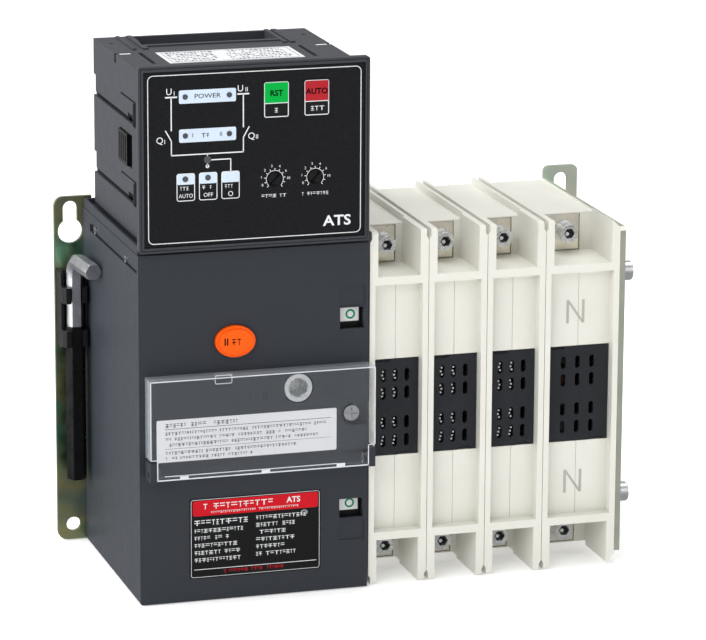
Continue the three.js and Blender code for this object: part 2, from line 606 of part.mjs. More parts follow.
function pole(number, x, width) {
  const group = new THREE.Group();
  group.position.x = x;
  const upperScrewAt = [0.8, 0, SCREW.z];
  const lowerScrewAt = [0.8, 0, POLE.height - SCREW.z];
  group.add(
    mesh(`pole_casing_${number}`, poleCasing(width), MATERIAL.ivory),
    mesh(`vent_cover_${number}`, ventCover(width), MATERIAL.slate),
    mesh(`upper_terminal_${number}`, lineTerminal(width), MATERIAL.copper),
    mesh(`lower_terminal_${number}`, mirrorZ(lineTerminal(width), POLE.height / 2), MATERIAL.copper),
    mesh(`load_terminal_${number}`, loadTerminal(width), MATERIAL.copper),
    mesh(`upper_screw_${number}`, terminalScrew(), MATERIAL.zinc, upperScrewAt),
    mesh(`lower_screw_${number}`, terminalScrew(), MATERIAL.zinc, lowerScrewAt),
    mesh(`arc_chute_${number}`, arcChute(width), MATERIAL.steel),
    mesh(`moving_contact_${number}`, movingContact(), MATERIAL.bareCopper),
  );
  return group;
}

function poles() {
  const group = new THREE.Group();
  const widths = [POLE.phase, POLE.phase, POLE.phase, POLE.neutral];
  let left = POLE.first;
  widths.forEach((width, i) => {
    group.add(pole(i + 1, left + width / 2, width));
    left += width;
  });
  return group;
}

// ---- Hex key and its clip ----
function keyPath() {
  const path = new THREE.CurvePath();
  const turn = (KEY.turn * Math.PI) / 180;
  const forward = new THREE.Vector3(Math.sin(turn), -Math.cos(turn), 0);
  const foot = new THREE.Vector3(KEY.x, KEY.y, SLEEVE.low + 3);
  const corner = new THREE.Vector3(KEY.x, KEY.y, KEY.armZ);
  const bendStart = corner.clone().setZ(KEY.armZ - KEY.bend);
  const bendEnd = corner.clone().addScaledVector(forward, KEY.bend);
  path.add(new THREE.LineCurve3(foot, bendStart));
  path.add(new THREE.QuadraticBezierCurve3(bendStart, corner, bendEnd));
  path.add(new THREE.LineCurve3(bendEnd, corner.clone().addScaledVector(forward, KEY.armLength)));
  return path;
}

function keyShaft() {
  const outline = hexagon(0, 0, KEY.flats, Math.PI / 6).map(([a, b]) => new THREE.Vector2(a, b));
  const options = { steps: 60, bevelEnabled: false, extrudePath: keyPath() };
  const bar = solid(new THREE.ExtrudeGeometry(new THREE.Shape(outline), options));
  const roundedEnd = join(
    cylinder("y", -KEY.armLength - 1, 1.5 - KEY.armLength, [0, 0], KEY.endRadius, 24),
    box(-BIG, BIG, 1.4 - KEY.armLength, BIG, -BIG, BIG),
  );
  return bar.intersect(roundedEnd.rotate([0, 0, KEY.turn]).translate([KEY.x, KEY.y, KEY.armZ]));
}

function keySleeve() {
  const outer = prism("z", hexagon(KEY.x, KEY.y, SLEEVE.flats), SLEEVE.low, SLEEVE.high);
  return cut(outer, prism("z", hexagon(KEY.x, KEY.y, KEY.flats + GAP), SLEEVE.low + 2, BIG));
}

function keyClip() {
  const { left, right, front, back, low, high } = CLIP;
  const channel = cut(
    box(left, right, front + 4.6, back, low, high),
    box(left + 1.6, right - 1.2, 0, KEY.y + 6, low - 1, high + 1),
  );
  const leftJaw = [
    [left, KEY.y + 1],
    [left, front + 1],
    [left + 1.6, front - 1],
    [left + 4.2, front - 1],
    [left + 1.6, KEY.y + 1],
  ];
  const rightJaw = leftJaw.map(([a, b]) => [left + right - a, b]).reverse();
  const jawPair = (span) => [leftJaw, rightJaw].map((outline) => prism("z", outline, ...span));
  const jaws = [[111.2, 120.3], [135, 143.7]].flatMap(jawPair);
  const sweep = prism("z", hexagon(KEY.x, KEY.y, SLEEVE.flats + 2 * GAP), low - 1, high + 1);
  return cut(join(channel, ...jaws), sweep);
}

// ---- Assembly ----
const MIDDLE = { x: (PLATE.left + PLATE.right) / 2, y: (FLAP.front - 0.6 + PLATE.back) / 2 };
const ats = new THREE.Group();
ats.position.set(-MIDDLE.x, -MIDDLE.y, 0);
ats.add(
  mesh("mechanism_housing", housing(), MATERIAL.slate),
  mesh("left_side_plate", leftPlate(), MATERIAL.yellowZinc),
  mesh("right_side_plate", rightPlate(), MATERIAL.zinc),
  mesh("tie_bolt_upper", tieBolt(TIE.high), MATERIAL.steel),
  mesh("tie_bolt_lower", tieBolt(TIE.low), MATERIAL.steel),
  mesh("drive_shaft", driveShaft(), MATERIAL.zinc),
  mesh("contact_shaft", contactShaft(), MATERIAL.black),
  mesh("indicator_slide", indicatorSlide(), MATERIAL.white),
  mesh("lock_screw", lockScrew(), MATERIAL.zinc, [LOCK.x, 0, LOCK.z]),
  mesh("trip_button", tripButton(), MATERIAL.orange),
  mesh("flap_cover", flap(), MATERIAL.clear),
  mesh("solenoid_coil", coil(), MATERIAL.winding),
  mesh("solenoid_plunger", plunger(), MATERIAL.steel),
  mesh("controller_case", controllerCase(), MATERIAL.slate),
  mesh("controller_panel", controllerPanel(), MATERIAL.black),
  mesh("controller_board", circuitBoard(), MATERIAL.board),
  mesh("reset_key", pushKey(), MATERIAL.green, [KEYS.reset, 0, KEYS.z]),
  mesh("auto_key", pushKey(), MATERIAL.red, [KEYS.auto, 0, KEYS.z]),
  mesh("delay_dial_left", dial(), MATERIAL.black, [DIALS.left, 0, DIALS.z]),
  mesh("delay_dial_right", dial(), MATERIAL.black, [DIALS.right, 0, DIALS.z]),
  mesh("controller_catch", catchSlider(), MATERIAL.black),
  mesh("key_clip", keyClip(), MATERIAL.black),
  mesh("hex_key", keyShaft(), MATERIAL.steel),
  mesh("hex_key_sleeve", keySleeve(), MATERIAL.black),
  poles(),
);

export default ats;
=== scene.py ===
"""Looks of the automatic transfer switch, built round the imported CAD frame."""
import math

import bmesh
import bpy
from mathutils import Matrix, Vector


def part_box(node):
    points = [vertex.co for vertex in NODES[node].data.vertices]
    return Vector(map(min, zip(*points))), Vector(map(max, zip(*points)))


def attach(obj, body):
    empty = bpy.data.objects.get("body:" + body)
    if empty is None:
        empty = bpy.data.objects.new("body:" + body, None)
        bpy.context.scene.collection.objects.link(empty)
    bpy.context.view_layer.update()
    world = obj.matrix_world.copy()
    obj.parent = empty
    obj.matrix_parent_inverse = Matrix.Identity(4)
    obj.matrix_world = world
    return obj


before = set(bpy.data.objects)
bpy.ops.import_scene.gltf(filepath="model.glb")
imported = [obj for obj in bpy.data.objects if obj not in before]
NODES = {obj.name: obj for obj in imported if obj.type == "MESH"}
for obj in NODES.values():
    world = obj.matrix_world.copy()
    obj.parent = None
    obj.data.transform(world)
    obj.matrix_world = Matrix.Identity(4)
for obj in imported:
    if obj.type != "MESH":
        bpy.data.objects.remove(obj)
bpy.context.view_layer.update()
MM = 0.001
POLE_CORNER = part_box("pole_casing_1")[0]
POLE_FROM_HOUSING = (121.15, 1.5)  # from the housing's front left corner to the first pole's, in mm
CORNER = Vector((POLE_CORNER.x - POLE_FROM_HOUSING[0] * MM, POLE_CORNER.y - POLE_FROM_HOUSING[1] * MM, 0))
PRINT = 0.05  # thickness of printing, in mm
FILM = 0.12  # thickness of films and paper labels, in mm


def at(x, y, z):
    """A point given in mm from the housing's front left bottom corner, as a point of the frame."""
    return CORNER + Vector((x, y, z)) * MM


# ---------------------------------------------------------------- materials

NOISE_SPAN = (0.3, 0.7)  # nearly all values of a noise texture lie between these


def srgb(r, g, b):
    """An 8-bit sRGB colour as linear RGBA."""
    def linear(c):
        c /= 255
        return c / 12.92 if c <= 0.04045 else ((c + 0.055) / 1.055) ** 2.4
    return (linear(r), linear(g), linear(b), 1.0)


class Surface:
    """A node material with colour mottling, uneven gloss and a fine relief, with sizes in mm."""

    def __init__(self, name, color, rough, metal=0.0, mottle=0.06, mottle_size=18.0,
                 grain=0.02, grain_size=0.7, rough_spread=0.08, specular=0.5, coat=0.0):
        self.mat = bpy.data.materials.new(name)
        self.mat.use_nodes = True
        self.nodes = self.mat.node_tree.nodes
        self.links = self.mat.node_tree.links
        self.shader = self.nodes["Principled BSDF"]
        self.shader.inputs["Metallic"].default_value = metal
        self.shader.inputs["Specular IOR Level"].default_value = specular
        self.shader.inputs["Coat Weight"].default_value = coat
        self.shader.inputs["Coat Roughness"].default_value = 0.12
        self.place = self.nodes.new("ShaderNodeTexCoord").outputs["Object"]
        dark = [c * (1 - mottle) for c in color[:3]] + [1]
        light = [min(1, c * (1 + mottle)) for c in color[:3]] + [1]
        self.color_by(self.noise(mottle_size, 3), zip(NOISE_SPAN, (dark, light)))
        gloss = self.noise(mottle_size * 0.4, 4)
        self.links.new(self.spread(gloss, rough - rough_spread, rough + rough_spread),
                       self.shader.inputs["Roughness"])
        self.relief = self.bump(self.noise(grain_size, 2), grain)

    def noise(self, size_mm, detail, stretch=None):
        """A noise texture's value, in the piece's own coordinates."""
        texture = self.nodes.new("ShaderNodeTexNoise")
        texture.inputs["Scale"].default_value = 1 / (size_mm * MM)
        texture.inputs["Detail"].default_value = detail
        source = self.place
        if stretch:
            mapping = self.nodes.new("ShaderNodeMapping")
            mapping.inputs["Scale"].default_value = stretch
            self.links.new(self.place, mapping.inputs["Vector"])
            source = mapping.outputs["Vector"]
        self.links.new(source, texture.inputs["Vector"])
        return texture.outputs["Fac"]

    def color_by(self, value, stops):
        """The base colour, from a ramp of (position, colour) stops over a value."""
        ramp = self.nodes.new("ShaderNodeValToRGB")
        stops = list(stops)
        elements = ramp.color_ramp.elements
        while len(elements) < len(stops):
            elements.new(0.5)
        for element, (position, color) in zip(elements, stops):
            element.position = position
            element.color = color
        self.links.new(value, ramp.inputs["Fac"])
        self.links.new(ramp.outputs["Color"], self.shader.inputs["Base Color"])

    def spread(self, value, low, high):
        """A noise value stretched over a range of roughness."""
        node = self.nodes.new("ShaderNodeMapRange")
        node.inputs["From Min"].default_value = NOISE_SPAN[0]
        node.inputs["From Max"].default_value = NOISE_SPAN[1]
        node.inputs["To Min"].default_value = max(0.02, low)
        node.inputs["To Max"].default_value = min(1.0, high)
        self.links.new(value, node.inputs["Value"])
        return node.outputs["Result"]

    def bump(self, height, distance_mm, under=None):
        """Relief from a height, laid over the relief under it."""
        node = self.nodes.new("ShaderNodeBump")
        node.inputs["Distance"].default_value = distance_mm * MM
        self.links.new(height, node.inputs["Height"])
        if under:
            self.links.new(under.outputs["Normal"], node.inputs["Normal"])
        self.links.new(node.outputs["Normal"], self.shader.inputs["Normal"])
        return node

    def scratches(self, size_mm, stretch, depth_mm):
        """Adds relief that is drawn out along one axis."""
        self.relief = self.bump(self.noise(size_mm, 3, stretch), depth_mm, self.relief)
        return self

    def glow(self, color, strength):
        self.shader.inputs["Emission Color"].default_value = color
        self.shader.inputs["Emission Strength"].default_value = strength
        return self


def iridescent(name, stops, rough, size_mm):
    """Zinc plate whose colour drifts between the stops."""
    grey = (0.5, 0.5, 0.5, 1)
    surface = Surface(name, grey, rough, metal=1.0, grain=0.015, grain_size=1.2)
    surface.color_by(surface.noise(size_mm, 2), stops)
    return surface.scratches(3, (1, 1, 9), 0.01)


def clear_plastic(name):
    """Clear plastic that is nearly invisible face on and milky at a grazing angle."""
    surface = Surface(name, srgb(196, 202, 210), 0.03, mottle=0.01, grain=0.0002, grain_size=20,
                      rough_spread=0.01)
    facing = surface.nodes.new("ShaderNodeLayerWeight")
    facing.inputs["Blend"].default_value = 0.35
    alpha = surface.nodes.new("ShaderNodeMapRange")
    alpha.inputs["To Min"].default_value = 0.012
    alpha.inputs["To Max"].default_value = 0.42
    surface.links.new(facing.outputs["Facing"], alpha.inputs["Value"])
    surface.links.new(alpha.outputs["Result"], surface.shader.inputs["Alpha"])
    return surface


SLATE = Surface("slate_moulding", srgb(47, 51, 58), 0.42, mottle=0.015, rough_spread=0.03, grain=0.012,
                grain_size=0.8, specular=0.35).mat
CASE = Surface("case_moulding", srgb(56, 58, 64), 0.5, mottle=0.015, rough_spread=0.03, grain=0.02,
               grain_size=0.9, specular=0.4).mat
BLACK = Surface("black_moulding", srgb(19, 20, 22), 0.42, mottle=0.12, grain=0.03, specular=0.3).mat
SLEEVE = Surface("black_sleeve", srgb(9, 9, 10), 0.3, mottle=0.15, grain=0.02, coat=0.1, specular=0.25).mat
VENT = Surface("vent_moulding", srgb(34, 37, 42), 0.4, mottle=0.06, grain=0.01, specular=0.35).mat
IVORY = Surface("ivory_moulding", srgb(224, 223, 214), 0.36, mottle=0.025, mottle_size=30, grain=0.03,
                grain_size=1.1).mat
ORANGE = Surface("orange_button", srgb(246, 92, 6), 0.34, mottle=0.03, grain=0.004, coat=0.12,
                 specular=0.12).mat
FACE = Surface("face_sheet", srgb(20, 21, 24), 0.42, mottle=0.55, mottle_size=0.7, grain=0.012,
               grain_size=0.5, rough_spread=0.05, specular=0.25).mat
WHITE_INK = Surface("white_ink", srgb(226, 228, 230), 0.5, mottle=0.03).mat
GREY_INK = Surface("grey_ink", srgb(176, 172, 164), 0.5, mottle=0.05).mat
BLACK_INK = Surface("black_ink", srgb(10, 10, 11), 0.6, mottle=0.1, specular=0.1).mat
RED_INK = Surface("red_ink", srgb(196, 22, 34), 0.42, mottle=0.05, specular=0.08).mat
GREEN_INK = Surface("green_ink", srgb(0, 142, 110), 0.45, mottle=0.05, specular=0.1).mat
PAPER = Surface("white_label", srgb(222, 223, 226), 0.4, mottle=0.02).mat
# pale opaque colour for the painted highlights on the clear flap's edges
EDGE_HIGHLIGHT = Surface("clear_edge_painted_highlight", srgb(214, 220, 226), 0.15, mottle=0.08, mottle_size=6, grain=0.01,
               coat=0.5).mat
PLATE = Surface("rating_plate", srgb(15, 16, 18), 0.36, mottle=0.1, mottle_size=2, grain=0.005,
                specular=0.3).mat
GREEN_KEY = Surface("green_key", srgb(0, 168, 64), 0.4, mottle=0.04, grain=0.005, specular=0.08).mat
RED_KEY = Surface("red_key", srgb(172, 38, 46), 0.4, mottle=0.04, grain=0.005, specular=0.08).mat
LENS = Surface("lens_film", srgb(205, 220, 236), 0.25, mottle=0.03, grain=0.01, coat=0.2).mat
LED = Surface("led", srgb(72, 76, 82), 0.3, mottle=0.1, coat=0.2).mat
BOARD = Surface("circuit_board", srgb(24, 92, 52), 0.4, mottle=0.1, mottle_size=6).mat
WINDING = Surface("coil_winding", srgb(128, 62, 36), 0.45, mottle=0.12, mottle_size=3).scratches(
    1.5, (0.2, 0.2, 4), 0.2).mat
FLAG = Surface("flag_print", srgb(238, 238, 236), 0.4, mottle=0.02).mat
STEEL = Surface("bright_steel", srgb(214, 216, 219), 0.36, metal=1, mottle=0.1, mottle_size=5,
                grain=0.01).scratches(2.5, (1, 1, 0.15), 0.008).mat
ZINC = Surface("zinc_screw", srgb(226, 228, 229), 0.3, metal=1, mottle=0.1, mottle_size=3, grain=0.012).mat
BRIGHT = Surface("bright_ring", srgb(236, 238, 240), 0.5, metal=0.7, mottle=0.06, mottle_size=2,
                 grain=0.01).mat
TINNED = Surface("tinned_copper", srgb(238, 232, 220), 0.34, metal=1, mottle=0.08, mottle_size=7,
                 grain=0.015).scratches(2, (1, 4, 0.3), 0.01).mat
COPPER = Surface("bare_copper", srgb(196, 122, 84), 0.32, metal=1, mottle=0.12, mottle_size=6).mat
CHUTE = Surface("chute_steel", srgb(196, 198, 202), 0.25, metal=1, mottle=0.1, mottle_size=4).mat
YELLOW_ZINC = iridescent("zinc_yellow_passivate", [
    (0.25, srgb(84, 136, 122)), (0.42, srgb(116, 160, 128)), (0.55, srgb(188, 186, 136)),
    (0.68, srgb(138, 156, 138)), (0.8, srgb(104, 146, 142))], 0.36, 34).mat
CLEAR_ZINC = iridescent("zinc_pale_passivate", [
    (0.3, srgb(206, 224, 208)), (0.5, srgb(226, 234, 216)), (0.62, srgb(236, 234, 216)),
    (0.75, srgb(210, 226, 222))], 0.38, 34).mat
CLEAR = clear_plastic("clear_cover").mat

# ---------------------------------------------------------------- CAD nodes

BEVEL_SEGMENTS = 3
BEVEL_ANGLE = math.radians(32)  # edges that turn by more than this are rounded
WELD_GAP = 1e-5
POLES = range(1, 5)
LOOKS = {  # each node's material and the width of its rounded edges, in mm
    "mechanism_housing": (SLATE, 0.9), "left_side_plate": (YELLOW_ZINC, 0.25),
    "right_side_plate": (CLEAR_ZINC, 0.25), "tie_bolt_upper": (ZINC, 0.6), "tie_bolt_lower": (ZINC, 0.6),
    "drive_shaft": (ZINC, 0.4), "contact_shaft": (BLACK, 0.4), "indicator_slide": (BLACK, 0.1),
    "lock_screw": (ZINC, 0.3), "trip_button": (ORANGE, 0.9), "flap_cover": (CLEAR, 0.35),
    "solenoid_coil": (WINDING, 0.3), "solenoid_plunger": (STEEL, 0.3), "controller_case": (CASE, 0.35),
    "controller_panel": (FACE, 0.1), "controller_board": (BOARD, 0.1), "reset_key": (BLACK, 0.3),
    "auto_key": (BLACK, 0.3), "delay_dial_left": (BLACK, 0.2), "delay_dial_right": (BLACK, 0.2),
    "controller_catch": (SLEEVE, 0.3), "key_clip": (BLACK, 0.3), "hex_key": (STEEL, 0.35),
    "hex_key_sleeve": (SLEEVE, 0.3),
}
for n in POLES:
    LOOKS.update({
        f"pole_casing_{n}": (IVORY, 0.45), f"vent_cover_{n}": (VENT, 0.15),
        f"upper_terminal_{n}": (TINNED, 0.4), f"lower_terminal_{n}": (TINNED, 0.4),
        f"load_terminal_{n}": (TINNED, 0.4), f"upper_screw_{n}": (ZINC, 0.2),
        f"lower_screw_{n}": (ZINC, 0.2), f"arc_chute_{n}": (CHUTE, 0.0),
        f"moving_contact_{n}": (COPPER, 0.2),
    })


def soften(obj, width_mm):
    """Shades a CAD node smooth and rounds its edges with modifiers. Its vertices stay as they are."""
    mesh = obj.data
    if "custom_normal" in mesh.attributes:
        mesh.attributes.remove(mesh.attributes["custom_normal"])
    for polygon in mesh.polygons:
        polygon.use_smooth = width_mm > 0
    weld = obj.modifiers.new("weld", "WELD")
    weld.merge_threshold = WELD_GAP
    if not width_mm:
        return
    bevel = obj.modifiers.new("bevel", "BEVEL")
    bevel.width = width_mm * MM
    bevel.segments = BEVEL_SEGMENTS
    bevel.limit_method = "ANGLE"
    bevel.angle_limit = BEVEL_ANGLE
    bevel.harden_normals = True
    bevel.miter_outer = "MITER_ARC"


for name, (material, width) in LOOKS.items():
    node = NODES[name]
    node.data.materials.clear()
    node.data.materials.append(material)
    soften(node, width)

# ---------------------------------------------------------------- printing and small pieces

CORNER_STEPS = 4
RING_SIDES = 24
PLANES = {  # how a flat drawing's right, up and outward directions lie in the frame
    "front": Matrix(((1, 0, 0), (0, 0, -1), (0, 1, 0))),
    "back": Matrix(((-1, 0, 0), (0, 0, 1), (0, 1, 0))),
    "top": Matrix(((1, 0, 0), (0, 1, 0), (0, 0, 1))),
    "left": Matrix(((0, 0, -1), (-1, 0, 0), (0, 1, 0))),
    "right": Matrix(((0, 0, 1), (1, 0, 0), (0, 1, 0))),
}


def polar(x, y, r, degrees):
    """The point at a distance and an angle from a centre."""
    a = math.radians(degrees)
    return (x + r * math.cos(a), y + r * math.sin(a))


def rounded_outline(x0, x1, y0, y1, r):
    """The outline of a rectangle with round corners, from its lower right one."""
    corners = ((x1 - r, y0 + r, -90), (x1 - r, y1 - r, 0), (x0 + r, y1 - r, 90), (x0 + r, y0 + r, 180))
    return [polar(x, y, r, start + i * 90 / CORNER_STEPS)
            for x, y, start in corners for i in range(CORNER_STEPS + 1)]


class Drawing:
    """Flat shapes of one colour on a plane, in mm, gathered into one thin mesh."""

    def __init__(self, name, plane, origin, material, body, slot, thick=PRINT):
        self.name, self.material, self.body, self.slot = name, material, body, slot
        self.turn, self.origin, self.thick = PLANES[plane].to_4x4(), origin, thick
        self.bm = bmesh.new()

    def prism(self, points, thick=None):
        """A closed outline, raised to the drawing's thickness or its own."""
        thick = thick or self.thick
        low = [self.bm.verts.new((x, y, 0)) for x, y in points]
        high = [self.bm.verts.new((x, y, thick)) for x, y in points]
        self.bm.faces.new(low[::-1])
        self.bm.faces.new(high)
        for i in range(len(points)):
            j = (i + 1) % len(points)
            self.bm.faces.new((low[i], low[j], high[j], high[i]))
        return self

    def rect(self, x0, x1, y0, y1):
        return self.prism([(x0, y0), (x1, y0), (x1, y1), (x0, y1)])

    def rounded(self, x0, x1, y0, y1, r):
        return self.prism(rounded_outline(x0, x1, y0, y1, r))

    def line(self, p, q, width):
        (x0, y0), (x1, y1) = p, q
        length = math.hypot(x1 - x0, y1 - y0)
        nx, ny = (y0 - y1) / length * width / 2, (x1 - x0) / length * width / 2
        return self.prism([(x0 - nx, y0 - ny), (x1 - nx, y1 - ny), (x1 + nx, y1 + ny), (x0 + nx, y0 + ny)])

    def path(self, points, width):
        for p, q in zip(points, points[1:]):
            self.line(p, q, width)
        return self

    def disc(self, x, y, r, sides=20):
        turn = 2 * math.pi / sides
        return self.prism([(x + r * math.cos(i * turn), y + r * math.sin(i * turn)) for i in range(sides)])

    def ring(self, x, y, r, width, squash=1.0):
        """A ring of short blocks round its middle radius, squashed upright to make an ellipse."""
        turn = 2 * math.pi / RING_SIDES
        inner, outer = r - width / 2, r + width / 2
        for i in range(RING_SIDES):
            a, b = i * turn, (i + 1) * turn
            self.prism([(x + k * math.cos(t), y + k * squash * math.sin(t))
                        for k, t in ((inner, a), (outer, a), (outer, b), (inner, b))])
        return self

    def frame(self, x0, x1, y0, y1, r, width):
        """A line round a rectangle with round corners."""
        points = rounded_outline(x0, x1, y0, y1, r)
        return self.path(points + points[:1], width)

    def text(self, words, x, y, size, squeeze=1.0, bold=0.0):
        """Words centred on a point, stretched sideways by squeeze."""
        curve = bpy.data.curves.new("words", "FONT")
        curve.body, curve.size = words, size
        curve.align_x, curve.align_y = "CENTER", "CENTER"
        curve.extrude = self.thick / 2
        curve.offset = bold
        curve.resolution_u = 3
        holder = bpy.data.objects.new("words", curve)
        bpy.context.scene.collection.objects.link(holder)
        bpy.context.view_layer.update()
        mesh = bpy.data.meshes.new_from_object(holder.evaluated_get(bpy.context.evaluated_depsgraph_get()))
        mesh.transform(Matrix.Translation((x, y, self.thick / 2)) @ Matrix.Diagonal((squeeze, 1, 1, 1)))
        self.bm.from_mesh(mesh)
        bpy.data.objects.remove(holder)
        bpy.data.meshes.remove(mesh)
        return self

    def sign(self, x, y, wide, height, kind):
        """One small sign that is no letter: a top bar, and by its kind a stem and more bars."""
        def bar(left, right, low, high):
            self.rect(x + wide * left, x + wide * right, y + height * low, y + height * high)

        bar(0, 1, 0.78, 0.92)
        if kind != 1:
            bar(0.4, 0.6, 0, 0.78)
        if kind != 2:
            bar(0, 1, 0.36, 0.5)
        if kind == 3:
            bar(0, 1, 0, 0.14)

    def scribble(self, x0, x1, y, height, seed):
        """A line of print too small to read: signs of uneven width, from a fixed run of numbers."""
        x, number = x0, seed
        while x < x1 - height:
            number = (number * 73 + 41) % 997
            wide = height * (0.45 + (number % 7) * 0.09)
            if number % 11:
                self.sign(x, y, wide, height, number % 4)
            x += wide + height * 0.22
        return self

    def done(self):
        """Turns the drawing into its object, which rides on its body."""
        mesh = bpy.data.meshes.new(self.name)
        self.bm.normal_update()
        self.bm.to_mesh(mesh)
        self.bm.free()
        mesh.materials.append(self.material)
        mesh.transform(Matrix.Translation(self.origin) @ self.turn @ Matrix.Scale(MM, 4))
        obj = bpy.data.objects.new(self.name, mesh)
        bpy.context.scene.collection.objects.link(obj)
        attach(obj, self.body)


def front(name, y, material, body, slot, thick=PRINT):
    """A drawing on a plane that faces the front, in the housing's X and Z."""
    return Drawing(name, "front", at(0, y, 0), material, body, slot, thick)


BASE = "mechanism"
POLE_CENTRES = (136.95, 168.85, 200.75, 237.2)
LAMP_KEYS = (18.4, 30.0, 41.6)  # left edges of the three lamp keys
PANEL_FACE = -2.6  # y of the controller's printed sheet
KEY_FACE = -3.1
BUTTON_FACE = -3.5
PAD_FACE = -7.0  # y of the raised pad under the flap
FLAP_FACE = -11.0
HOUSING_BACK = 123.0
POLE_BACK = 116.3
CASE_TOP = 276.2  # z of the controller case's top


def lamp_circuit(ink):
    """The one-line diagram of both supplies, as white lines."""
    left, right, middle, off_key = 15.6, 52.9, 34.2, 46.3
    supply, contact, hinge, common, branch, keys = 264.9, 247.8, 242.7, 235.3, 232.1, 225.0
    reach = 3.1
    for x, side in ((left, -1), (right, 1)):
        ink.line((x - reach, supply), (x + reach, supply), 0.75)
        ink.line((x, supply), (x, contact), 0.6)
        ink.path([(x + side * reach, contact + 0.4), (x, hinge), (x, common - 0.2)], 0.55)
    ink.line((left - 0.2, common), (right + 0.2, common), 0.6)
    ink.line((middle, common), (middle, 228.4), 0.5)
    ink.path([(middle, branch), (off_key, branch), (off_key, keys)], 0.55)
    ink.disc(middle, 228.9, 0.95)
    for words, x, z in (("U", 14.5, 267.6), ("U", 51.4, 267.6), ("Q", 9.6, 243.1), ("Q", 57.1, 243.1)):
        ink.text(words, x, z, 4.7)
    for words, x, z in (("I", 17.2, 266.7), ("II", 54.6, 267.0), ("I", 12.2, 242.4), ("II", 60.0, 242.6)):
        ink.text(words, x, z, 3.2)


def dial_scale(ink, x, seed):
    """Ticks and an arc round a delay dial, its numbers and the line of small print below."""
    z, ticks, first_tick, tick_step = 220.3, 11, 225, 27
    arc_points, arc_step = 16, 18
    for i in range(ticks):
        degrees = first_tick - tick_step * i
        ink.line(polar(x, z, 4.7, degrees), polar(x, z, 5.6, degrees), 0.35)
    for i, words in enumerate(("0", "1", "2", "3", "4", "6", "10")):
        a = math.radians(205 - 34 * i)
        ink.text(words, x + 7.1 * math.cos(a), z + 0.1 + 6.9 * math.sin(a), 1.9)
    ink.path([polar(x, z, 4.5, first_tick - arc_step * i) for i in range(arc_points)], 0.25)
    ink.scribble(x - 7, x + 7.6, 211, 1.8, seed)


def panel_print():
    """The white lines, words and small print of the controller's face."""
    low, high, width, word_z = 211.8, 225.6, 9.1, 214.2
    auto, off, trip = LAMP_KEYS
    ink = front("panel_print", PANEL_FACE, WHITE_INK, BASE, "flag_white")
    ink.frame(3.6, 114.5, 190.4, 276.1, 2.6, 0.42)
    lamp_circuit(ink)
    for x in LAMP_KEYS:
        ink.frame(x, x + width, low, high, 1.0, 0.4)
    for x0, x1, seed in ((20, 26.4, 5), (31.4, 38, 11), (43.2, 49.6, 3)):
        ink.scribble(x0, x1, 217.2, 2.0, seed)
    ink.text("AUTO", auto + 4.6, word_z, 2.9, squeeze=0.92)
    ink.ring(trip + 4.6, word_z, 1.1, 0.35)
    ink.text("OFF", off + 4.6, word_z, 2.9)
    dial_scale(ink, 69.3, 17)
    dial_scale(ink, 90.5, 18)
    ink.text("ATS", 102.2, 196.9, 7.4, bold=0.16, squeeze=1.14)
    ink.done()


def lamps():
    """The pale films over the lamps, and the dots of the lamps and the words drawn on the films."""
    upper, lower = 264.8, 245.0
    lens = front("lens_films", PANEL_FACE, LENS, BASE, "flag_white", FILM)
    for z in (261.4, 241.6):
        lens.rounded(19.6, 49.1, z, z + 6.8, 0.9)
    for x in LAMP_KEYS:
        lens.rounded(x + 0.2, x + 8.9, 220.1, 225.4, 0.7)
    lens.done()
    dots = front("lamp_dots", PANEL_FACE - FILM, LED, BASE, "moulded_black", 0.2)
    for z in (upper, lower):
        dots.disc(22.8, z, 1.4).disc(45.6, z, 1.4)
    dots.disc(LAMP_KEYS[0] + 4.3, 222.9, 1.5).disc(LAMP_KEYS[1] + 4.4, 223.1, 1.5)
    dots.disc(34.2, 232.3, 1.9)
    dots.done()
    words = front("lens_print", PANEL_FACE - FILM, BLACK_INK, BASE, "moulded_black")
    words.text("POWER", 34.3, upper, 3.3, squeeze=1.2)
    words.text("I", 26.6, lower, 3.0).text("II", 41.2, lower, 3.0)
    words.scribble(31.2, 37.6, 243.8, 2.3, 9)
    words.done()


def key_caps():
    """The coloured half, the word and the small print of both push keys."""
    half, foot, parting, top, line = 6.2, 252.4, 259.4, 270.0, 0.45
    keys = (("reset", 70, GREEN_KEY, "key_green", "RST", 3.2),
            ("auto", 91.1, RED_KEY, "key_red", "AUTO", 5.4))
    for body, x, lens, slot, word, wide in keys:
        colour = front(f"{body}_key_colour", KEY_FACE, lens, body, slot, FILM)
        colour.rounded(x - half + 0.1, x + half - 0.1, parting + 0.2, top - 0.1, 0.6).done()
        letters = front(f"{body}_key_word", KEY_FACE - FILM, BLACK_INK, body, "moulded_black")
        letters.text(word, x, 264.4, 4.1, bold=0.12).done()
        ink = front(f"{body}_key_print", KEY_FACE, WHITE_INK, body, "flag_white")
        ink.frame(x - half, x + half, foot, top, 0.8, line)
        ink.line((x - half, parting), (x + half, parting), line)
        ink.scribble(x - wide, x + wide + 0.4, 254.6, 2.5, 13)
        ink.done()


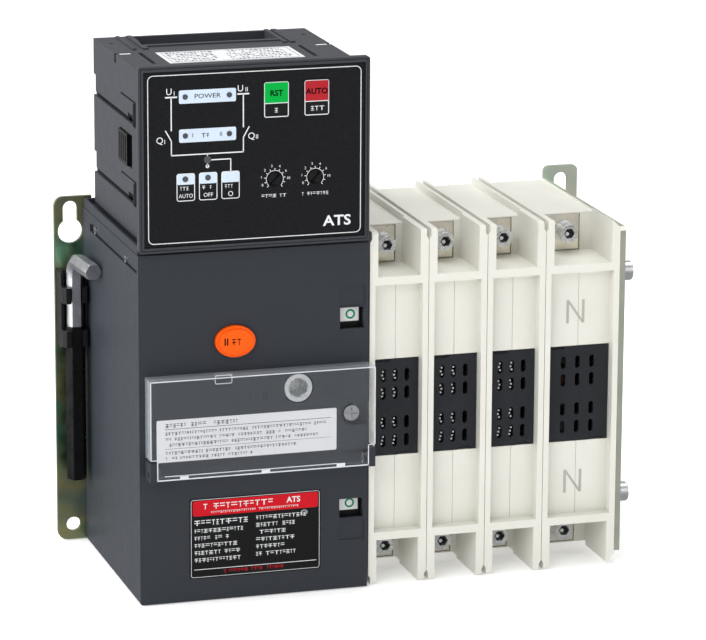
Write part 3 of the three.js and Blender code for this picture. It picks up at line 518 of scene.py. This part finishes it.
def rating_plate():
    """The black plate at the foot of the housing: a red banner over two columns of small print."""
    thick = 0.35
    left, right, first_row, row_step, row_height = 27.2, 60, 40.4, 3.9, 2.2
    plate = front("rating_plate", 0, PLATE, BASE, "moulded_black", thick)
    plate.rounded(24.8, 94.6, 12.0, 54.6, 1.4).done()
    banner = front("rating_banner", -thick, RED_INK, BASE, "key_red")
    banner.rounded(26.4, 93.2, 45.4, 53.6, 1.2).scribble(43, 76, 14.2, 1.7, 71)
    banner.done()
    ink = front("rating_print", -thick, WHITE_INK, BASE, "flag_white")
    ink.frame(25.5, 93.9, 12.7, 54.1, 1.1, 0.2).line((27, 16.8), (92.4, 16.8), 0.3)
    ink.scribble(left, 57, first_row, 3.0, 7)
    for row in range(5):
        ink.scribble(left, 55 - (row * 7) % 9, first_row - 4 - row_step * row, row_height, 20 + row * 13)
    for row in range(6):
        top = first_row + 0.8 - row_step * row
        ink.scribble(right, 88 - (row * 5) % 11, top, row_height, 3 + row * 29)
    ink.ring(85.8, 43.1, 1.5, 0.3, squash=0.8)
    ink.done()
    words = front("banner_print", -thick - PRINT, WHITE_INK, BASE, "flag_white")
    words.scribble(32, 71, 48.9, 3.2, 31).text("ATS", 80, 50.4, 4.2, bold=0.08)
    words.scribble(36, 84, 46.5, 1.2, 3)
    words.done()


def instruction_label():
    """The paper label under the flap, with a heading, two rules and lines of small print."""
    left, rule_left, rule_right = 10.5, 10.3, 98
    label = front("instruction_label", PAD_FACE, PAPER, BASE, "flag_white", FILM)
    label.rounded(5.9, 101, 77.4, 99.6, 0.8).done()
    text = front("instruction_print", PAD_FACE - FILM, BLACK_INK, BASE, "moulded_black")
    text.scribble(left, 50, 95.6, 2.2, 19)
    text.line((rule_left, 94.7), (rule_right, 94.7), 0.22)
    for row, z in enumerate((91.6, 88.6, 85.6)):
        text.scribble(left, 97 - (row * 11) % 17, z, 1.7, 23 + row * 7)
    text.line((rule_left, 84.4), (rule_right, 84.4), 0.14)
    text.scribble(left, 80, 81.4, 1.7, 57).scribble(left, 60, 78.6, 1.6, 91)
    text.done()


def flap_edge_highlights():
    """Painted highlights: pale opaque strips along the clear moulding's edges, where light leaves it."""
    left, right, inner_left, inner_right = 1.7, 120.7, 5.1, 117.3
    top, shoulder, foot = 120.9, 79.8, 68.7
    highlight_strips = front("flap_edge_highlights", FLAP_FACE, EDGE_HIGHLIGHT, "flap", "clear_plastic", FILM)
    highlight_strips.rect(left, right, top - 0.3, top + 0.2)
    highlight_strips.rect(left, left + 0.4, shoulder, top).rect(right - 0.5, right, shoulder, top)
    highlight_strips.rect(left + 0.1, inner_left + 0.1, shoulder - 0.1, shoulder + 0.3)
    highlight_strips.rect(inner_right - 0.1, right, shoulder - 0.1, shoulder + 0.3)
    highlight_strips.rect(inner_left, inner_left + 0.5, foot, shoulder)
    highlight_strips.rect(inner_right - 0.5, inner_right, foot, shoulder)
    highlight_strips.rect(inner_left + 0.1, inner_right - 0.1, foot + 0.1, foot + 0.7).rect(9, 100, 70.9, 71.3)
    for x in (17, 60, 100):
        highlight_strips.rect(x, x + 4.5, 69.4, 71.1)
    highlight_strips.frame(35.6, 44.4, 117.9, 122.2, 0.8, 0.35)
    highlight_strips.done()


def side_screws():
    """Cross-slotted screws on the housing's left side, in their long recess."""
    x, z, head, arm, half_slot = -0.9, 177, 0.9, 1.3, 0.25
    for name, y in (("side_screw_rear", 92.6), ("side_screw_front", 25.9)):
        Drawing(name, "left", at(x, y, z), ZINC, BASE, "bright_steel", head).disc(0, 0, 1.9).done()
        # the black crosses are painted shade in the screws' cross slots
        slots = Drawing(name + "_cross_shade", "left", at(x - head, y, z), BLACK_INK, BASE, "moulded_black")
        slots.rect(-arm, arm, -half_slot, half_slot).rect(-half_slot, half_slot, -arm, arm).done()


def back_details():
    """Rivets and a cable connector on the housing's side that faces the wall."""
    rivets = Drawing("back_rivets", "back", at(0, HOUSING_BACK, 0), ZINC, BASE, "bright_steel", 0.8)
    for x in (12, 60, 108):
        for z in (14, 172):
            rivets.disc(-x, z, 2.4)
    rivets.done()
    seat, depth, pins, pitch = 119.4, 3, 8, 5.1
    plug = Drawing("back_connector", "back", at(0, seat, 0), BLACK, BASE, "moulded_black", depth)
    plug.rect(-83.5, -36.5, 141, 161).done()
    tip = at(0, seat + depth, 0)
    contacts = Drawing("back_connector_pins", "back", tip, ZINC, BASE, "bright_steel", 0.5)
    for i in range(pins):
        contacts.disc(-(42 + pitch * i), 151, 1.2)
    contacts.done()


def pole_backs():
    """The seam of each pole's two halves and the rivets that hold them, seen from behind."""
    half_seam, rivet_reach, rivet = 0.15, 6.5, 1.9
    back = at(0, POLE_BACK, 0)
    seams = Drawing("pole_back_seams", "back", back, GREY_INK, BASE, "pole_ivory")
    rivets = Drawing("pole_back_rivets", "back", back, ZINC, BASE, "bright_steel", 0.5)
    for x in POLE_CENTRES:
        seams.rect(-x - half_seam, -x + half_seam, 42, 186)
        for z in (52, 118, 180):
            rivets.disc(-x - rivet_reach, z, rivet).disc(-x + rivet_reach, z, rivet)
    seams.done()
    rivets.done()


def shade_in_slots():
    """Painted shade: black sheets at the bottoms of the case's deep slots, at both sides and in the top."""
    slots = (  # front and rear y, then low and high z from the slot's own line
        (25, 109.8, -0.5, 0.8), (27.2, 38.8, -0.6, 2.8), (18.4, 24.4, -1.4, 11.6), (24, 49.8, 10.3, 11.6))
    for side, x, way in (("left", 4.0, -1), ("right", 116.0, 1)):
        shade_sheet = Drawing(f"{side}_slot_painted_shade", side, at(x, 0, 0), BLACK_INK, BASE, "moulded_black")
        for z in (206.2, 247.2):
            for y0, y1, low, high in slots:
                shade_sheet.rect(*sorted((way * y0, way * y1)), z + low, z + high)
        shade_sheet.done()
    slit_floor, y0, y1 = 274.1, 30.1, 61.4
    # painted shade in the two narrow cuts of the case's top
    slit_shade = Drawing("top_slit_painted_shade", "top", at(0, 0, slit_floor), BLACK_INK, BASE, "moulded_black", 0.2)
    slit_shade.rect(14.5, 16.5, y0, y1).rect(99.5, 101.5, y0, y1).done()


def top_details():
    """The paper label on the case's top, and the two clip pieces in its edge notches, drawn white as a
    painted glint.
    """
    label = Drawing("top_label", "top", at(0, 0, CASE_TOP), PAPER, BASE, "flag_white", FILM)
    label.rect(23.2, 94.2, 28.2, 59.4).done()
    text = Drawing("top_print", "top", at(0, 0, CASE_TOP + FILM), BLACK_INK, BASE, "moulded_black")
    first_row, row_step, row_height = 31.5, 4.5, 2.2
    for row in range(6):
        y = first_row + row_step * row
        text.scribble(27, 52, y, row_height, 7 + 17 * row)
        text.scribble(57, 90, y, row_height, 5 + 23 * row)
    text.frame(25.5, 92, 30, 57.8, 0.6, 0.25)
    text.done()
    notch_floor, clip_height = 275.1, 1.0
    # white blocks for the metal clips: painted glint
    clip_glints = Drawing("notch_clip_glints", "top", at(0, 0, notch_floor), WHITE_INK, BASE, "flag_white", clip_height)
    clip_glints.rect(4.8, 10.6, 60, 62).rect(109.4, 115.2, 60, 62).done()


def pad_marks():
    """The raised position marks on the pad and the bright ring round the drive's socket."""
    z, height = 108.6, 6.4
    marks = front("position_marks", PAD_FACE, SLATE, BASE, "housing_slate", 0.35)
    marks.text("I", 55.6, z, height, bold=0.1).text("II", 63.5, z, height, bold=0.1)
    marks.ring(97.0, z, 2.4, 0.8).done()
    ring = front("drive_ring", -6.6, BRIGHT, "drive", "bright_steel", FILM)
    ring.ring(80.7, 111.5, 6.3, 2.0).done()


def button_print():
    """The numeral and the sign on the oval button."""
    words = front("button_print", BUTTON_FACE, BLACK_INK, "button", "moulded_black")
    words.text("II", 43.6, 137.2, 5.2, bold=0.1).scribble(46.6, 55.6, 135.4, 3.6, 3).done()


def housing_details():
    """Labels, screws, painted shade in the slots, painted highlights and marks on the housing and the case,
    and the button's print.
    """
    rating_plate()
    instruction_label()
    flap_edge_highlights()
    side_screws()
    back_details()
    pole_backs()
    shade_in_slots()
    top_details()
    pad_marks()
    button_print()


def flag_printing():
    """Three fields on each of the two flags, one above the other: the middle ones show at rest."""
    face, field_thick, mark_thick = 5.0, PRINT, 0.08
    left, right, half_field = 104.6, 116.2, 3.7
    centre, half_bar, bar_reach = 111.7, 0.5, 2.6
    step, upper, lower = 11.4, 145.6, 44.6
    field = front("flag_fields", face, FLAG, "indicator", "flag_white", field_thick)
    ring = front("flag_rings", face - field_thick, GREEN_INK, "indicator", "key_green", mark_thick)
    bars = front("flag_bars", face - field_thick, RED_INK, "indicator", "key_red", mark_thick)
    for z in (upper - step, upper, upper + step, lower - step, lower, lower + step):
        field.rect(left, right, z - half_field, z + half_field)
    for z in (upper, upper + step, lower, lower - step):
        ring.ring(centre, z, 2.1, 0.95)
    for x, z in ((centre, upper - step), (centre - 1.4, lower + step), (centre + 1.4, lower + step)):
        bars.rect(x - half_bar, x + half_bar, z - bar_reach, z + bar_reach)
    for drawing in (field, ring, bars):
        drawing.done()


def screw_sockets():
    """Painted shade at the bottoms of the terminal screws' hex sockets, a painted glint in each, and bright
    rims round them.
    """
    floor_y, painted_glint_y, rim_y, shift = 27.6, 27.3, 25.32, 0.8
    for z in (175.6, 12.9):
        row = round(z)
        # the black hexes are painted shade and the pale pentagons are painted glints
        shade_sheet = front(f"socket_painted_shade_{row}", floor_y, BLACK, BASE, "moulded_black", 0.1)
        rims = front(f"socket_rims_{row}", rim_y, ZINC, BASE, "bright_steel", 0.14)
        painted_glints = front(f"socket_painted_glints_{row}", painted_glint_y, BRIGHT, BASE, "bright_steel", 0.1)
        for x in POLE_CENTRES:
            shade_sheet.disc(x + shift, z, 2.45, sides=6)
            painted_glints.disc(x + 0.2, z - 0.5, 1.15, sides=5)
            rims.ring(x + shift, z, 3.5, 0.35)
        shade_sheet.done()
        painted_glints.done()
        rims.done()


def chute_tab_glints():
    """Each arc plate's front tab, behind the vent slots of the phase poles, in a paler finish than the
    chute steel: a real edge with a painted glint.
    """
    columns, lifts, height = (-6.4, 0), (-2.2, -0.4, 1.5), 0.8
    # paler than the chute steel: partly real plate edges, partly painted glint
    tab_glints = front("chute_tab_glints", 11.4, BRIGHT, BASE, "chute_steel", 3.1)
    for pole, x in enumerate(POLE_CENTRES[:3]):
        for column in columns:
            for row, z in enumerate((75.65, 85.35, 101.15, 110.65)):
                for i, lift in enumerate(lifts):
                    left = x + column - 0.65 + ((pole * 5 + row * 3 + i * 7) % 5 - 2) * 0.22
                    tab_glints.rect(left, left + 0.9, z + lift, z + lift + height)
    tab_glints.done()


def neutral_letters():
    """The letter N above and below the neutral pole's vents."""
    x0, x1, bar, half_height = 230.6, 240.6, 1.4, 6.2
    diagonal_thick = 0.15  # a little more than the uprights, so that no faces coincide
    letter = front("neutral_letters", 7.7, GREY_INK, BASE, "flag_white", FILM)
    for z in (138, 45.8):
        low, high = z - half_height, z + half_height
        letter.rect(x0, x0 + bar, low, high).rect(x1 - bar, x1, low, high)
        letter.prism([(x1 - bar, low), (x1, low), (x0 + bar, high), (x0, high)], diagonal_thick)
    letter.done()


panel_print()
lamps()
key_caps()
housing_details()
flag_printing()
neutral_letters()
screw_sockets()
chute_tab_glints()

# ---------------------------------------------------------------- camera, lights, floor

SENSOR = 36  # mm
FOCAL = 4080 / 706 * SENSOR  # the focal length in picture widths, times the sensor's width
EYE = at(-477.9, -1940.6, 651.5)
RIGHT = Vector((0.95717, -0.28948, 0.00508))
UP = Vector((0.06561, 0.23397, 0.97003))
BACK = Vector((-0.28199, -0.92815, 0.24294))
camera = bpy.data.objects.new("camera", bpy.data.cameras.new("camera"))
camera.data.lens = FOCAL
camera.data.sensor_width = SENSOR
camera.data.sensor_fit = "HORIZONTAL"
camera.data.clip_start = 0.05
camera.data.clip_end = 50
camera.matrix_world = Matrix.Translation(EYE) @ Matrix((RIGHT, UP, BACK)).transposed().to_4x4()
bpy.context.scene.collection.objects.link(camera)
bpy.context.scene.camera = camera


def area_light(name, place, target, size, power):
    """A white rectangular light, in metres and watts, that faces its target."""
    light = bpy.data.lights.new(name, "AREA")
    light.shape = "RECTANGLE"
    light.size, light.size_y = size
    light.energy = power
    obj = bpy.data.objects.new(name, light)
    obj.location = place
    obj.rotation_euler = (Vector(place) - Vector(target)).to_track_quat("Z", "Y").to_euler()
    bpy.context.scene.collection.objects.link(obj)


area_light("key", (-1.1, -1.2, 1.3), (0, 0, 0.1), (1.2, 1.2), 14.5)
area_light("left_strip", (-1.7, 0.25, 0.6), (-0.1, 0, 0.15), (1.2, 1.5), 34)
area_light("fill", (1.3, -1.5, 0.8), (0, 0, 0.1), (1.4, 1.4), 5.5)
area_light("top", (0.1, 0.1, 1.7), (0, 0, 0), (1.4, 1.4), 16)

# The floor curves up into a wall behind the part. Its sizes are in metres.
FLOOR_FRONT, SWEEP_START, SWEEP_RADIUS, WALL_TOP = -4, 1.2, 1.0, 5
HALF_WIDTH = 6
SWEEP_STEPS = 15
FLOOR_GAP = 0.0005

floor_mesh = bpy.data.meshes.new("floor")
sweep = bmesh.new()
profile = [(FLOOR_FRONT, 0)]
for i in range(SWEEP_STEPS + 1):
    turn = math.radians(90 / SWEEP_STEPS * i)
    across, up = SWEEP_RADIUS * math.sin(turn), SWEEP_RADIUS - SWEEP_RADIUS * math.cos(turn)
    profile.append((SWEEP_START + across, up))
profile.append((SWEEP_START + SWEEP_RADIUS, WALL_TOP))
rows = [[sweep.verts.new((x, y, z - FLOOR_GAP)) for x in (-HALF_WIDTH, HALF_WIDTH)] for y, z in profile]
for a, b in zip(rows, rows[1:]):
    sweep.faces.new((a[0], a[1], b[1], b[0])).smooth = True
sweep.to_mesh(floor_mesh)
sweep.free()
paper = Surface("studio_floor", srgb(250, 250, 250), 0.8, mottle=0.002).glow((1, 1, 1, 1), 0.28)
floor_mesh.materials.append(paper.mat)
floor = bpy.data.objects.new("floor", floor_mesh)
bpy.context.scene.collection.objects.link(floor)
floor.visible_glossy = False

LIGHT_ON_PART, LIGHT_SEEN = 0.36, 1.0  # strength of the white surroundings, as light and as backdrop

world = bpy.data.worlds.new("studio")
world.use_nodes = True
backdrop = world.node_tree.nodes["Background"]
backdrop.inputs["Color"].default_value = (1, 1, 1, 1)
seen = world.node_tree.nodes.new("ShaderNodeLightPath")
strength = world.node_tree.nodes.new("ShaderNodeMapRange")
strength.inputs["To Min"].default_value = LIGHT_ON_PART
strength.inputs["To Max"].default_value = LIGHT_SEEN
world.node_tree.links.new(seen.outputs["Is Camera Ray"], strength.inputs["Value"])
world.node_tree.links.new(strength.outputs["Result"], backdrop.inputs["Strength"])
bpy.context.scene.world = world
bpy.context.scene.view_settings.view_transform = "Standard"
